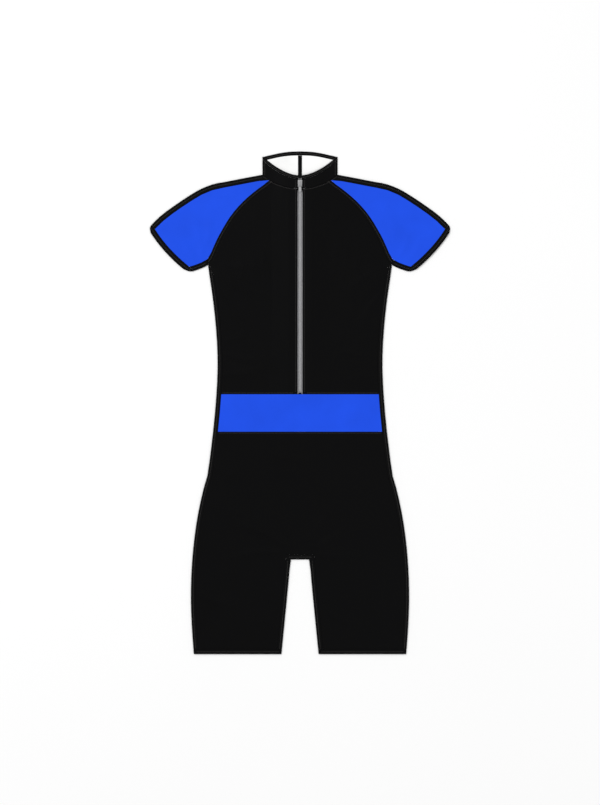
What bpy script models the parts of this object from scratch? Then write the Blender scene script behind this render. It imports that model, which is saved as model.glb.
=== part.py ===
"""A short-sleeved, short-legged sports unitard with a front zip, laid flat on its back.

Metres, +Z up from the surface that it lies on, +Y from the hems to the collar, and +X
to the wearer's left. The origin is at the bottom centre of the whole garment. The
panels lie in two layers, back and front. They meet edge to edge, as flat seams join
them, and folded strips close the edges of the two layers.
"""
import math

import bmesh
import bpy
import numpy as np

MM = 0.001
LENGTH = 1005 * MM
GAP = 0.3 * MM
HALF_GAP = GAP / 2
WELD = 0.01 * MM
SHARP_ANGLE = math.radians(40)

# Walls and layer heights.
WALL = 1.2 * MM
FRONT_LOW = 1.6 * MM
ZIP_LIFT = 2.6 * MM
LIFT_NEAR = 20 * MM
LIFT_FAR = 60 * MM
LIFT_BELOW_BAND_TOP = 40 * MM
LIFT_RISE = 36 * MM
NOSE = 2.3 * MM
NOSE_ANGLES = (90, 45, 0, -45, -90)

# How many rows and columns each piece's wall is divided into.
RING_RUNS = 12
UPPER_ROWS = 10
RAGLAN_ROWS = 15
UPPER_COLUMNS = 6
ZIP_COLUMNS = (20 * MM, 38 * MM, 58 * MM)
NEAR_SHARE = 0.8
BAND_ROWS = 2
BAND_COLUMNS = 4
LEG_ROWS = 8
HIP_ROWS = 6
WAIST_ROWS = 3
SHORTS_COLUMNS = 8
SLEEVE_COLUMNS = 11
OVER_ARM_ROWS = 22
UNDERARM_ROWS = 4
CROTCH_ROWS = 2
CUFF_SHARES = (0.0, 0.3, 0.65, 1.0)
CUFF_POINTS = 30
OVER_ARM_START = 0.001
COLLAR_COLUMNS = 12
COLLAR_BAND_ROWS = 2

# Strips and tapes.
STRIP = 9.5 * MM
SLEEVE_STRIP = 11 * MM
RAGLAN_TAPE = 8 * MM
COLLAR_BINDING = 8 * MM
COLLAR_BINDING_FRONT = 4.4 * MM
BINDING_GROWTH = 0.2
SIDE_STRIP_TOP = 2.6 * MM
SIDE_STRIP_TAPER = 34 * MM
SIDE_STRIP_UP = 777.4 * MM
CROTCH_STEP = 14 * MM
HIP_UP = 356 * MM
COLLAR_SEAM = 0.4 * MM
UNDERARM_STRIP = 10.6 * MM
CUFF_SLANT = 1.14
FAR_TRIM = 1.3 * SLEEVE_STRIP
UNDER_TRIM = 1.3 * SLEEVE_STRIP
CORNER_RADIUS = 10 * MM
CB_TAPE_HALF = 3.9 * MM
CB_TAPE_LOW = 1.5 * MM
CB_TAPE_TOP = 2.0 * MM

# Heights above the hems of the waistband's two seams.
BAND_LOW = 444.4 * MM
BAND_TOP = 519.6 * MM

# The zip: half widths and heights above the table, then places above the hems.
ZIP_OPENING = 4.3 * MM
CHAIN_HALF = 3.2 * MM
CHAIN_Z = (3.0 * MM, 4.4 * MM)
TAPE_OUTER = 12 * MM
TAPE_Z = (3.2 * MM, 3.9 * MM)
ZIP_BOTTOM = 520.1 * MM
ZIP_TOP = 951.6 * MM
BOTTOM_STOP_UP = 523 * MM
CHAIN_UP = (525.6 * MM, 944.4 * MM)
SLIDER_UP = (932 * MM, 948 * MM)
SLIDER_HALF = 4.0 * MM
LOWER_PLATE_Z = (2.3 * MM, 2.7 * MM)
UPPER_PLATE_Z = (4.7 * MM, 5.4 * MM)
WEB_LENGTH = 3 * MM
WEB_HALF = 1.2 * MM
BRIDGE_HALF = 1.0 * MM
BRIDGE_INNER = 4 * MM
BRIDGE_OUTER = 5.5 * MM
BRIDGE_Z = (7.4 * MM, 8.2 * MM)
HINGE_UP = 940 * MM
HINGE_Z = 6.4 * MM
TAB_THICK = 1.0 * MM
TAB_HALF = 2.9 * MM
TAB_EYE_HALF = 1.5 * MM
TAB_EYE_LENGTH = 6.2 * MM
TAB_LENGTH = 16 * MM
TOP_STOP_UP = 949.3 * MM
STOP_LENGTH = 1.9 * MM

# Outlines of the wearer's left half, in millimetres: (distance from the centre line,
# height above the hems).
SIDE_TO_HIP = [(184, 778), (181.6, 760), (177.7, 735), (173, 700), (168.1, 652), (165.1, 600),
               (164.9, 568), (166.4, 532), (172.2, 460), (177.7, 412), (183.2, 370),
               (185.4, 356)]
HIP_TO_HEM = [(185.4, 356), (190.3, 340), (196.4, 316), (206.1, 268), (212.6, 220),
              (216.6, 172), (218.3, 112), (216.2, 52), (212.4, 0)]
INNER_LEG = [(37.1, 0), (31.9, 52), (27.2, 100), (22.6, 148), (19.5, 186)]
CROTCH = [(18, 189), (-18, 189)]
OVER_ARM = [(75.1, 958.5), (92, 955.3), (110, 951.9), (130, 948), (150, 944.1), (168, 941),
            (184, 936), (200, 929.1), (222, 916.1), (250, 897.4), (278, 876.6),
            (290, 865.5), (304, 850.6)]
CUFF = [(224, 762.8), (242, 777.1), (258, 792.1), (274, 809.2), (290, 829.4), (304, 850.6)]
UNDERARM = [(184.2, 777.7), (192, 773.4), (204, 768.6), (216, 764.6), (224, 762.8)]
RAGLAN = [(52.3, 943.1), (61, 936.3), (82.7, 920.5), (101.4, 904.8), (116.9, 889.3),
          (129.6, 874), (140, 858.5), (149.1, 842.8), (157.6, 827.3), (164.7, 811.7),
          (171.7, 795.7), (175.8, 787.3), (183.4, 778.2)]
FRONT_NECK = [(0.15, 930.2), (11, 931), (24, 933.3), (37, 937.1), (52.3, 943.1)]
BACK_NECK = [(0.15, 951), (28, 949), (52.3, 943.1)]
COLLAR_FRONT_TOP = [(0.15, 956.5), (11.2, 957.8), (23.8, 961.6), (39.2, 969), (52, 977),
                    (66.6, 988.2), (75.1, 994)]
COLLAR_BACK_TOP = [(0.15, 1005), (21.4, 1004.2), (39.2, 1001.8), (58.4, 997.6), (75.1, 994)]
SLEEVE_NECK = [(60.6, 947.9), (75.1, 958.6)]

# Where the inner edges of the sleeve's strip, tape and panel meet, at the neck and under
# the arm, in the same millimetres.
NECK_ENDS = {"strip": (61.0, 948.0), "tape": (60.2, 947.5), "panel": (61.4, 947.4)}
ARM_ENDS = {"strip": (184.9, 788.7), "tape": (184.3, 789.2), "panel": (185.1, 789.6)}

# Soft creases of the front: start, end, half width and height, all in millimetres. Each
# fades out a little past its ends, by these shares of its length.
CREASE_PAST = 0.25
CREASE_FADE = 0.4
CREASES = [
    (-150, 742, -62, 792, 20, 1.0),
    (146, 748, 66, 806, 20, 0.9),
    (-128, 566, -46, 590, 18, 0.8),
    (130, 600, 52, 622, 18, 0.8),
    (-182, 318, -66, 250, 22, 1.0),
    (176, 300, 58, 262, 22, 0.9),
    (-226, 862, -172, 838, 18, 0.8),
    (228, 858, 178, 842, 18, 0.8),
]

SIDES = (("left", 1), ("right", -1))

BLACK = (0.004, 0.004, 0.005)
BLUE = (0.018, 0.084, 0.807)
ZIP_GREY = (0.36, 0.36, 0.38)

# Each finish's base colour, roughness and metallic share.
FINISHES = {
    "black_knit": (BLACK, 0.6, 0.0),
    "blue_knit": (BLUE, 0.55, 0.0),
    "binding_knit": (BLACK, 0.7, 0.0),
    "zip_cloth": (ZIP_GREY, 0.7, 0.0),
    "zip_metal": (ZIP_GREY, 0.35, 1.0),
}


class Path:
    """A curve in plan, read at a fraction of its length."""

    def __init__(self, points):
        self.points = np.array(points, dtype=float)
        steps = np.linalg.norm(np.diff(self.points, axis=0), axis=1)
        self.run = np.concatenate(([0.0], np.cumsum(steps)))
        self.length = self.run[-1]

    def at(self, fractions):
        places = np.asarray(fractions, dtype=float) * self.length
        columns = [np.interp(places, self.run, self.points[:, axis]) for axis in (0, 1)]
        return np.stack(columns, axis=-1)

    def offset(self, distance):
        """The curve moved to its right by a distance, or by one for each point."""
        along = np.gradient(self.points, axis=0)
        along /= np.linalg.norm(along, axis=1)[:, None]
        right = np.stack((along[:, 1], -along[:, 0]), axis=1)
        return Path(self.points + right * np.asarray(distance).reshape(-1, 1))

    def between(self, start, end, trim=(0.0, 0.0)):
        """The same curve with its ends cut back by trim and moved to two points."""
        low = trim[0] / self.length
        high = 1 - trim[1] / self.length
        middle = self.at(np.linspace(low, high, len(self.points)))
        return Path(np.vstack(([start], middle, [end])))

    def reversed(self):
        return Path(self.points[::-1])

    def joined(self, other):
        return Path(np.vstack((self.points, other.points)))


def smooth(table, steps=10):
    """A smooth path through a table of millimetre points."""
    points = np.array(table, dtype=float) * MM
    chord = np.concatenate(([0], np.cumsum(np.linalg.norm(np.diff(points, axis=0), axis=1))))
    slope = np.gradient(points, chord, axis=0)
    rows = []
    for index in range(len(points) - 1):
        span = chord[index + 1] - chord[index]
        for step in range(steps):
            t = step / steps
            rows.append(
                (2 * t**3 - 3 * t**2 + 1) * points[index]
                + (t**3 - 2 * t**2 + t) * span * slope[index]
                + (-2 * t**3 + 3 * t**2) * points[index + 1]
                + (t**3 - t**2) * span * slope[index + 1]
            )
    rows.append(points[-1])
    return Path(rows)


def ease(value):
    """0 below 0 and 1 above 1, with a smooth rise between them."""
    value = min(max(value, 0.0), 1.0)
    return value * value * (3 - 2 * value)


def crease_height(x, up):
    total = 0.0
    for x0, up0, x1, up1, half_width, height in CREASES:
        start = np.array((x0, up0)) * MM
        run = np.array((x1, up1)) * MM - start
        away = np.array((x, up)) - start
        along = float(away @ run / (run @ run))
        across = abs(away[0] * run[1] - away[1] * run[0]) / np.linalg.norm(run)
        ends = ease((along + CREASE_PAST) / CREASE_FADE)
        ends *= ease((1 + CREASE_PAST - along) / CREASE_FADE)
        total += height * MM * ends * math.exp(-((across / (half_width * MM)) ** 2))
    return total


def front_low(x, up):
    """Height of the front layer's underside: over the zip's tapes, and low elsewhere."""
    near = 1 - ease((abs(x) - LIFT_NEAR) / (LIFT_FAR - LIFT_NEAR))
    above = ease((up - BAND_TOP + LIFT_BELOW_BAND_TOP) / LIFT_RISE)
    return FRONT_LOW + ZIP_LIFT * near * above + crease_height(x, up)


def back_low(x, up):
    return 0.0


def material(name):
    made = bpy.data.materials.get(name)
    if made is None:
        colour, roughness, metallic = FINISHES[name]
        made = bpy.data.materials.new(name)
        made.use_nodes = True
        shader = made.node_tree.nodes["Principled BSDF"]
        shader.inputs["Base Color"].default_value = (*colour, 1)
        shader.inputs["Roughness"].default_value = roughness
        shader.inputs["Metallic"].default_value = metallic
    return made


def add_object(name, mesh_data, finish):
    bmesh.ops.recalc_face_normals(mesh_data, faces=mesh_data.faces)
    mesh = bpy.data.meshes.new(name)
    mesh_data.to_mesh(mesh)
    mesh_data.free()
    mesh.materials.append(material(finish))
    mesh.shade_smooth()
    mesh.set_sharp_from_angle(angle=SHARP_ANGLE)
    obj = bpy.data.objects.new(name, mesh)
    bpy.context.scene.collection.objects.link(obj)
    return obj


def cloth(name, finish, grids, welded=False):
    """A wall between pairs of point grids, outer and inner, each (rows, columns, 3)."""
    mesh_data = bmesh.new()
    wall = mesh_data.verts.layers.float_vector.new("wall")
    for outer, inner in grids:
        outer, inner = np.asarray(outer), np.asarray(inner)
        rows, columns = outer.shape[:2]
        made = bmesh.ops.create_grid(
            mesh_data, x_segments=columns - 1, y_segments=rows - 1, size=1)
        for vert, top, low in zip(made["verts"], outer.reshape(-1, 3), inner.reshape(-1, 3)):
            vert.co = top
            vert[wall] = low - top
    if welded:
        bmesh.ops.remove_doubles(mesh_data, verts=mesh_data.verts, dist=WELD)
    made = bmesh.ops.extrude_face_region(mesh_data, geom=mesh_data.faces[:])
    for item in made["geom"]:
        if isinstance(item, bmesh.types.BMVert):
            item.co = item.co + item[wall]
    return add_object(name, mesh_data, finish)


def lay(plan, low):
    """Puts a grid of plan points on a layer: its top and its underside."""
    rows, columns = plan.shape[:2]
    top = np.zeros((rows, columns, 3))
    under = np.zeros((rows, columns, 3))
    for i in range(rows):
        for j in range(columns):
            x, up = plan[i, j]
            under[i, j] = (x, up - LENGTH / 2, low(x, up))
            top[i, j] = under[i, j] + (0, 0, WALL)
    return top, under


def patch(left, right, bottom, top, columns, near=()):
    """Plan points between two lists of row ends and two paths.

    near gives the first columns' distances from the left edge.
    """
    grid = np.zeros((len(left), columns + len(near) + 1, 2))
    for i, (a, b) in enumerate(zip(left, right)):
        v = i / (len(left) - 1)
        width = np.linalg.norm(b - a)
        shares = [0.0]
        if near:
            fit = min(1.0, NEAR_SHARE * width / near[-1])
            shares += [fit * distance / width for distance in near]
        shares += list(np.linspace(shares[-1], 1, columns + 1)[1:])
        for j, u in enumerate(shares):
            bowed = (1 - v) * bottom.at(u) + v * top.at(u)
            flat = (1 - v) * ((1 - u) * left[0] + u * right[0])
            flat = flat + v * ((1 - u) * left[-1] + u * right[-1])
            grid[i, j] = (1 - u) * a + u * b + bowed - flat
    return grid


def mirrored(plan, side):
    return plan * np.array((side, 1.0))


def nose(fold, outward, high):
    """The round edge where a strip turns from the front layer to the back layer."""
    centre = np.asarray(fold) - outward * NOSE
    outer, inner = [], []
    for degrees in NOSE_ANGLES:
        turn = math.radians(degrees)
        for points, reach, low, top in (
            (outer, NOSE, 0.0, high + WALL),
            (inner, NOSE - WALL, WALL, high),
        ):
            plan = centre + outward * reach * math.cos(turn)
            z = (low + top) / 2 + (top - low) / 2 * math.sin(turn)
            points.append((plan[0], plan[1] - LENGTH / 2, z))
    return outer, inner


def run_flat(points, low, upper):
    """One flat run of a folded strip, as its outer and inner points."""
    outer, inner = [], []
    for x, up in points:
        under = (x, up - LENGTH / 2, low(x, up))
        top = (under[0], under[1], under[2] + WALL)
        outer.append(top if upper else under)
        inner.append(under if upper else top)
    return outer, inner


def fold_strip(name, finish, folds, edges, side=1):
    """A strip folded along one line of points, with both its edges on another."""
    outer, inner = [], []
    for fold, edge in zip(mirrored(folds, side), mirrored(edges, side)):
        outward = (fold - edge) / np.linalg.norm(fold - edge)
        high = front_low(*(fold - outward * NOSE))
        upper = run_flat([edge], front_low, True)
        turn = nose(fold, outward, high)
        lower = run_flat([edge], back_low, False)
        outer.append(upper[0] + turn[0] + lower[0])
        inner.append(upper[1] + turn[1] + lower[1])
    return cloth(name, finish, [(outer, inner)])


def ring(name, finish, rows, side=1):
    """A flattened band. Each row is a path across the garment, from end to end."""
    outer, inner = [], []
    for row in rows:
        places = np.linspace(NOSE / row.length, 1 - NOSE / row.length, RING_RUNS + 1)
        trimmed = mirrored(row.at(places), side)
        start, end = mirrored(row.at([0.0, 1.0]), side)
        back_out = (start - trimmed[0]) / np.linalg.norm(start - trimmed[0])
        far_out = (end - trimmed[-1]) / np.linalg.norm(end - trimmed[-1])
        upper = run_flat(trimmed[1:-1], front_low, True)
        far = nose(end, far_out, front_low(*trimmed[-1]))
        lower = run_flat(trimmed[1:-1][::-1], back_low, False)
        near = nose(start, back_out, front_low(*trimmed[0]))
        turned = [points[::-1] for points in near]
        outer.append(upper[0] + far[0] + lower[0] + turned[0] + upper[0][:1])
        inner.append(upper[1] + far[1] + lower[1] + turned[1] + upper[1][:1])
    return cloth(name, finish, [(outer, inner)], welded=True)


def side_path():
    return smooth(SIDE_TO_HIP).joined(Path(smooth(HIP_TO_HEM).points[1:]))


def side_edge(extra=0.0):
    """The inner edge of the side strip, which narrows to its fold under the arm."""
    side = side_path()
    widths = []
    for run in side.run:
        grow = ease(run / SIDE_STRIP_TAPER)
        widths.append(SIDE_STRIP_TOP + (STRIP - SIDE_STRIP_TOP) * grow + extra)
    return side.offset(widths)


def at_levels(path, levels):
    """The points of a path that comes down from the armpit, at heights above the hems."""
    return np.stack((np.interp(-levels, -path.points[:, 1], path.points[:, 0]), levels), axis=1)


def side_levels():
    """Heights of the rows along the side, shared by the panels and the side strip."""
    crotch = inner_leg_path(STRIP + GAP).at(1.0)[1]
    return {
        "leg": np.linspace(STRIP + GAP, crotch, LEG_ROWS + 1),
        "hip": np.linspace(crotch + CROTCH_STEP, HIP_UP, HIP_ROWS + 1),
        "waist": np.linspace(HIP_UP, BAND_LOW - HALF_GAP, WAIST_ROWS + 1)[1:],
        "band": np.linspace(BAND_LOW + HALF_GAP, BAND_TOP - HALF_GAP, BAND_ROWS + 1),
        "upper": np.linspace(BAND_TOP + HALF_GAP, SIDE_STRIP_UP - HALF_GAP, UPPER_ROWS + 1),
    }


def straight(start, end):
    return Path([start, (np.asarray(start) + np.asarray(end)) / 2, end])


def cuff_rows():
    """The cuff's paths from its edge inwards, with the garment's round corners."""
    edge = smooth(CUFF)
    over, under = smooth(OVER_ARM), smooth(UNDERARM)
    far = over.at(1 - SLEEVE_STRIP / over.length)
    near = under.at(1 - CUFF_SLANT * SLEEVE_STRIP / under.length)
    inner = edge.offset(-SLEEVE_STRIP).between(
        near, far, (2 * SLEEVE_STRIP, SLEEVE_STRIP))
    rows = []
    for share in CUFF_SHARES:
        left = CORNER_RADIUS - share * SLEEVE_STRIP
        pull = CORNER_RADIUS - math.sqrt(max(CORNER_RADIUS**2 - left**2, 0.0))
        cut = pull / edge.length
        fractions = np.linspace(cut, 1 - cut, CUFF_POINTS)
        rows.append(Path((1 - share) * edge.at(fractions) + share * inner.at(fractions)))
    return rows


def sleeve_paths():
    """The four edges of a sleeve panel, and those of the strips round it."""
    line = cuff_rows()[-1].offset(-GAP)
    total = line.length
    strip_far, panel_far = [line.at(1 - (SLEEVE_STRIP + gap) / total) for gap in (0, GAP)]
    strip_near = line.at(CUFF_SLANT * SLEEVE_STRIP / total)
    panel_near = line.at((CUFF_SLANT * SLEEVE_STRIP + GAP) / total)
    over, under, raglan = smooth(OVER_ARM), smooth(UNDERARM), smooth(RAGLAN)
    neck, arm = [{piece: np.array(place) * MM for piece, place in ends.items()}
                 for ends in (NECK_ENDS, ARM_ENDS)]
    return {
        "over_fold": over.between(over.at(OVER_ARM_START), line.at(1.0), (MM, SLEEVE_STRIP + 2 * MM)),
        "over_edge": over.offset(SLEEVE_STRIP).between(
            neck["strip"], strip_far, (STRIP, FAR_TRIM)),
        "over_panel": over.offset(SLEEVE_STRIP + GAP).between(
            neck["panel"], panel_far, (STRIP, FAR_TRIM)),
        "under_fold": under.between(under.at(0.0), line.at(0.0), (MM, UNDER_TRIM)),
        "under_edge": under.offset(-UNDERARM_STRIP).between(
            arm["strip"], strip_near, (MM, SLEEVE_STRIP)),
        "under_panel": under.offset(-UNDERARM_STRIP - GAP).between(
            arm["panel"], panel_near, (MM, SLEEVE_STRIP)),
        "cuff_panel": Path(line.at(np.linspace((CUFF_SLANT * SLEEVE_STRIP + GAP) / total,
                                               1 - (SLEEVE_STRIP + GAP) / total, CUFF_POINTS))),
        "tape_seam": raglan.offset(-HALF_GAP),
        "tape_edge": raglan.offset(-RAGLAN_TAPE).between(
            neck["tape"], arm["tape"], (STRIP, FAR_TRIM)),
        "raglan_panel": raglan.offset(-RAGLAN_TAPE - GAP).between(
            neck["panel"], arm["panel"], (STRIP, FAR_TRIM)),
    }


def row_ends(*stretches):
    """Row ends along several paths in turn, each given with its number of rows."""
    points = [stretches[0][0].at([0.0])]
    for path, count in stretches:
        points.append(path.at(np.linspace(0, 1, count + 1)[1:]))
    return np.vstack(points)


def upper_panel(name, side, layer, low):
    """A front or back upper panel: centre, waist, side, raglan seam and neck."""
    edge = at_levels(side_edge(GAP), side_levels()["upper"])
    raglan = smooth(RAGLAN).offset(HALF_GAP).reversed()
    neck = smooth(FRONT_NECK if layer == "front" else BACK_NECK).offset(HALF_GAP)
    centre_x = ZIP_OPENING + HALF_GAP if layer == "front" else HALF_GAP
    neck = neck.between((centre_x, neck.at(0.0)[1]), raglan.at(1.0), (centre_x + MM, MM))
    corner = (centre_x, BAND_TOP + HALF_GAP)
    left = row_ends((straight(corner, neck.at(0.0)), UPPER_ROWS + RAGLAN_ROWS + 1))
    right = np.vstack((edge, raglan.at(np.linspace(0, 1, RAGLAN_ROWS + 1))))
    waist = straight(corner, edge[0])
    near = ZIP_COLUMNS if layer == "front" else ()
    plan = patch(left, right, waist, neck, UPPER_COLUMNS, near)
    return cloth(name, "black_knit", [lay(mirrored(plan, side), low)])


def waistband(name, low):
    right = at_levels(side_edge(GAP), side_levels()["band"])
    left = right * (0, 1)
    plan = patch(left, right, straight(left[0], right[0]), straight(left[-1], right[-1]),
                 BAND_COLUMNS, ZIP_COLUMNS)
    grids = [lay(mirrored(plan, side), low) for side in (1, -1)]
    return cloth(name, "blue_knit", grids, welded=True)


def inner_leg_path(extra=0.0):
    """The inner leg's line from the hem to the crotch's corner, moved into the leg."""
    leg_line = smooth(INNER_LEG).offset(extra)
    ups = leg_line.points[:, 1]
    start = np.interp(STRIP + GAP, ups, leg_line.points[:, 0])
    keep = ups > STRIP + GAP + MM
    top = (CROTCH[0][0] * MM + extra, CROTCH[0][1] * MM + extra)
    return Path(np.vstack(([(start, STRIP + GAP)], leg_line.points[keep], [top])))


def shorts(name, low):
    """One panel for both legs, open between them from the hems to the crotch."""
    inner = inner_leg_path(STRIP + GAP)
    corner = inner.at(1.0)
    crotch_middle = (0.0, corner[1])
    levels = side_levels()
    waist_ups = np.concatenate((levels["hip"], levels["waist"]))
    right = at_levels(side_edge(GAP), np.concatenate((levels["leg"], waist_ups)))
    centre = [(0.0, up) for up in waist_ups[1:]]
    left = np.vstack((row_ends((inner, LEG_ROWS)), [crotch_middle], centre))
    plan = patch(left, right, straight(left[0], right[0]), straight(left[-1], right[-1]),
                 SHORTS_COLUMNS)
    grids = [lay(mirrored(plan, turn), low) for turn in (1, -1)]
    return cloth(name, "black_knit", grids, welded=True)


def sleeve_panel(name, side, low):
    paths = sleeve_paths()
    raglan = paths["raglan_panel"].reversed()
    shares = np.linspace(0, 1, RAGLAN_ROWS + 1)
    plan = patch(raglan.at(shares), paths["cuff_panel"].at(shares),
                 paths["under_panel"], paths["over_panel"], SLEEVE_COLUMNS)
    return cloth(name, "blue_knit", [lay(mirrored(plan, side), low)])


def raglan_tape(name, side, low):
    paths = sleeve_paths()
    shares = np.linspace(0, 1, RAGLAN_ROWS + 1)
    plan = np.stack((paths["tape_seam"].at(shares), paths["tape_edge"].at(shares)), axis=1)
    return cloth(name, "binding_knit", [lay(mirrored(plan, side), low)])


def arm_strips(word, side):
    paths = sleeve_paths()
    for strip, count in (("over", OVER_ARM_ROWS), ("under", UNDERARM_ROWS)):
        shares = np.linspace(0, 1, count + 1)
        folds, edges = paths[f"{strip}_fold"].at(shares), paths[f"{strip}_edge"].at(shares)
        fold_strip(f"{strip}_arm_binding_{word}", "binding_knit", folds, edges, side)
    ring(f"cuff_band_{word}", "binding_knit", cuff_rows(), side)


def side_strip(word, side):
    levels = np.concatenate(list(side_levels().values()))
    folds, edges = at_levels(side_path(), levels), at_levels(side_edge(), levels)
    fold_strip(f"side_binding_{word}", "binding_knit", folds, edges, side)


def hem_band(word, side):
    rows = []
    for up in (0.0, STRIP / 2, STRIP):
        inner_leg = smooth(INNER_LEG).points
        inner = (np.interp(up, inner_leg[:, 1], inner_leg[:, 0]), up)
        rows.append(straight(inner, at_levels(side_path(), np.array([up]))[0]))
    ring(f"leg_hem_band_{word}", "binding_knit", rows, side)


def inseam_strip():
    """A folded strip from one hem, round the crotch, to the other hem."""
    def both_legs(extra):
        half = inner_leg_path(extra)
        other = Path(half.points[::-1] * np.array((-1.0, 1.0)))
        return (half, straight(half.at(1.0), other.at(0.0)), other)

    folds, edges = [
        row_ends((leg_up, LEG_ROWS), (across, CROTCH_ROWS), (leg_down, LEG_ROWS))
        for leg_up, across, leg_down in (both_legs(0.0), both_legs(STRIP))
    ]
    fold_strip("inseam_binding", "binding_knit", folds, edges)


def binding_width(share):
    """The collar binding is narrow over the zip's top and full width past it."""
    grow = ease(share / BINDING_GROWTH)
    return COLLAR_BINDING_FRONT + (COLLAR_BINDING - COLLAR_BINDING_FRONT) * grow


def collar_band(name, finish, side, front_start, low_edge, high_edge):
    """A band of the stand collar, from the zip round the side fold to the centre back.

    low_edge and high_edge give a distance up the collar from its height at a place and
    the binding's width there. front_start is the share of the front that is left open.
    """
    across_sleeve = Path(np.array(SLEEVE_NECK) * MM)
    front_neck = smooth(FRONT_NECK).joined(across_sleeve)
    back_neck = smooth(BACK_NECK).joined(across_sleeve)
    front_top, back_top = smooth(COLLAR_FRONT_TOP), smooth(COLLAR_BACK_TOP)
    reach = NOSE / front_top.length
    front_shares = np.linspace(front_start, 1 - reach, COLLAR_COLUMNS + 1)[:-1]
    back_shares = np.linspace(1 - reach, 0, COLLAR_COLUMNS + 1)[1:]
    sideways = np.array((float(side), 0.0))

    def place(bottom, top, share, row, width):
        start, end = bottom.at(share), top.at(share)
        height = np.linalg.norm(end - start)
        low, high = low_edge(height, width), high_edge(height, width)
        up = low + (high - low) * row / COLLAR_BAND_ROWS
        return mirrored(start + (end - start) / height * up, side)

    outer, inner = [], []
    for row in range(COLLAR_BAND_ROWS + 1):
        front = [place(front_neck, front_top, share, row, binding_width(share))
                 for share in front_shares]
        back = [place(back_neck, back_top, share, row, COLLAR_BINDING) for share in back_shares]
        fold = place(front_neck, front_top, 1.0, row, COLLAR_BINDING)
        high = front_low(*(fold - sideways * NOSE))
        upper, lower = run_flat(front, front_low, True), run_flat(back, back_low, False)
        turn = nose(fold, sideways, high)
        outer.append(upper[0] + turn[0] + lower[0])
        inner.append(upper[1] + turn[1] + lower[1])
    cloth(name, finish, [(outer, inner)])


def collar(word, side):
    foot = smooth(FRONT_NECK).joined(Path(np.array(SLEEVE_NECK) * MM))
    zip_share = (ZIP_OPENING + HALF_GAP) / foot.length
    collar_band(f"collar_{word}", "black_knit", side, zip_share,
                lambda height, width: COLLAR_SEAM, lambda height, width: height - width)
    collar_band(f"collar_binding_{word}", "binding_knit", side, 0.0,
                lambda height, width: height - width + GAP, lambda height, width: height)


def block_mesh(x, up, z, round_off=0.0):
    """A box between pairs of x, height above the hems and z, with its edges beveled."""
    mesh_data = bmesh.new()
    bmesh.ops.create_cube(mesh_data, size=1)
    low = np.array((x[0], up[0] - LENGTH / 2, z[0]))
    high = np.array((x[1], up[1] - LENGTH / 2, z[1]))
    for vert in mesh_data.verts:
        vert.co = (low + high) / 2 + np.array(vert.co) * (high - low)
    if round_off:
        bmesh.ops.bevel(mesh_data, geom=mesh_data.edges[:], offset=round_off, segments=1,
                        profile=0.5, affect="EDGES", material=-1)
    return mesh_data


def block(name, finish, x, up, z, round_off=0.0):
    return add_object(name, block_mesh(x, up, z, round_off), finish)


def combine(target, helper, operation):
    """Joins a guide box to an object, or cuts it away, with a live Boolean."""
    helper.hide_render = True
    helper.display_type = "WIRE"
    change = target.modifiers.new(helper.name, "BOOLEAN")
    change.operation = operation
    change.object = helper


def zip_tapes():
    for word, side in SIDES:
        x = sorted((side * (CHAIN_HALF + GAP), side * TAPE_OUTER))
        block(f"zip_tape_{word}", "zip_cloth", x, (ZIP_BOTTOM, ZIP_TOP), TAPE_Z)
        x = sorted((side * WEB_HALF, side * CHAIN_HALF))
        block(f"zip_top_stop_{word}", "zip_metal", x, (TOP_STOP_UP, TOP_STOP_UP + STOP_LENGTH),
              CHAIN_Z, GAP)
    block("zip_chain", "zip_cloth", (-CHAIN_HALF, CHAIN_HALF), CHAIN_UP, CHAIN_Z, GAP)
    block("zip_bottom_stop", "zip_metal", (-CHAIN_HALF, CHAIN_HALF),
          (BOTTOM_STOP_UP, BOTTOM_STOP_UP + STOP_LENGTH), CHAIN_Z, GAP)


def zip_slider():
    slider = block("zip_slider", "zip_metal", (-SLIDER_HALF, SLIDER_HALF), SLIDER_UP,
                   UPPER_PLATE_Z, GAP / 2)
    inside = GAP / 3
    web_up = (SLIDER_UP[1] - WEB_LENGTH, SLIDER_UP[1] - inside)
    arch = (HINGE_UP - BRIDGE_OUTER, HINGE_UP + BRIDGE_OUTER)
    under = (HINGE_UP - BRIDGE_INNER, HINGE_UP + BRIDGE_INNER)
    joins = (
        ("web_guide", (-WEB_HALF, WEB_HALF), web_up,
         (LOWER_PLATE_Z[0] + inside, UPPER_PLATE_Z[1] - inside)),
        ("lower_plate_guide", (-SLIDER_HALF, SLIDER_HALF), SLIDER_UP, LOWER_PLATE_Z),
    )
    for name, x, up, z in joins:
        combine(slider, block(name, "zip_metal", x, up, z), "UNION")
    bridge = block("bridge_guide", "zip_metal", (-BRIDGE_HALF, BRIDGE_HALF), arch,
                   (UPPER_PLATE_Z[1] - inside, BRIDGE_Z[1]))
    arch_hole = block("arch_hole_guide", "zip_metal", (-TAB_HALF, TAB_HALF), under,
                      (UPPER_PLATE_Z[1], BRIDGE_Z[0]))
    combine(slider, bridge, "UNION")
    combine(slider, arch_hole, "DIFFERENCE")


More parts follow.
